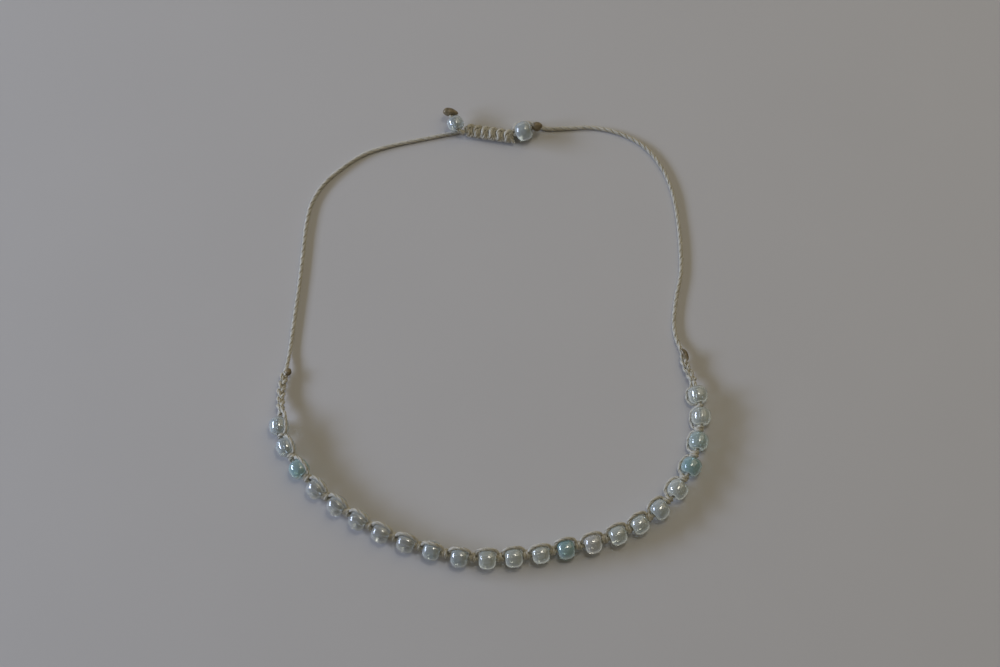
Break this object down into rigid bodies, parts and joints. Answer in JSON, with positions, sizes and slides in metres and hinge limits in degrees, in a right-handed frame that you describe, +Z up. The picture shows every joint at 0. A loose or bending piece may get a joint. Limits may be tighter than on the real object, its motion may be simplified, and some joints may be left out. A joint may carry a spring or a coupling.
{
  "type": "beaded bracelet",
  "caption": "Adjustable bracelet of drilled glass beads knotted on twisted cord, closed by a sliding knot with a stopper bead on each cord end, lying opened out flat",
  "frame": {"origin": "On the surface that the bracelet lies on, under the middle of its box.", "axes": "+Z up. The beads run along the -Y side of the loop, the sliding knot is at its +Y side, and bead_01 is at the -X end of the string."},
  "size_m": [0.0868, 0.0979, 0.005],
  "materials": {
    "bead_glass": "polished, with a pearl lustre",
    "cord": "waxed, two plies twisted",
    "melted_cord": "melted, uneven"
  },
  "bodies": {
    "root": {"bead_01": "bead_glass", "bead_02": "bead_glass", "bead_03": "bead_glass", "bead_04": "bead_glass", "bead_05": "bead_glass", "bead_06": "bead_glass", "bead_07": "bead_glass", "bead_08": "bead_glass", "bead_09": "bead_glass", "bead_10": "bead_glass", "bead_11": "bead_glass", "bead_12": "bead_glass", "bead_13": "bead_glass", "bead_14": "bead_glass", "bead_15": "bead_glass", "bead_16": "bead_glass", "bead_17": "bead_glass", "bead_18": "bead_glass", "bead_19": "bead_glass", "bead_20": "bead_glass", "bead_21": "bead_glass", "bead_22": "bead_glass", "bead_23": "bead_glass", "knotted_cord": "cord", "side_cord_left": "cord", "side_cord_right": "cord", "sliding_knot": "cord", "end_knot_left": "melted_cord", "end_knot_right": "melted_cord", "stopper_bead_left": "bead_glass", "stopper_bead_right": "bead_glass"}
  },
  "joints": []
}
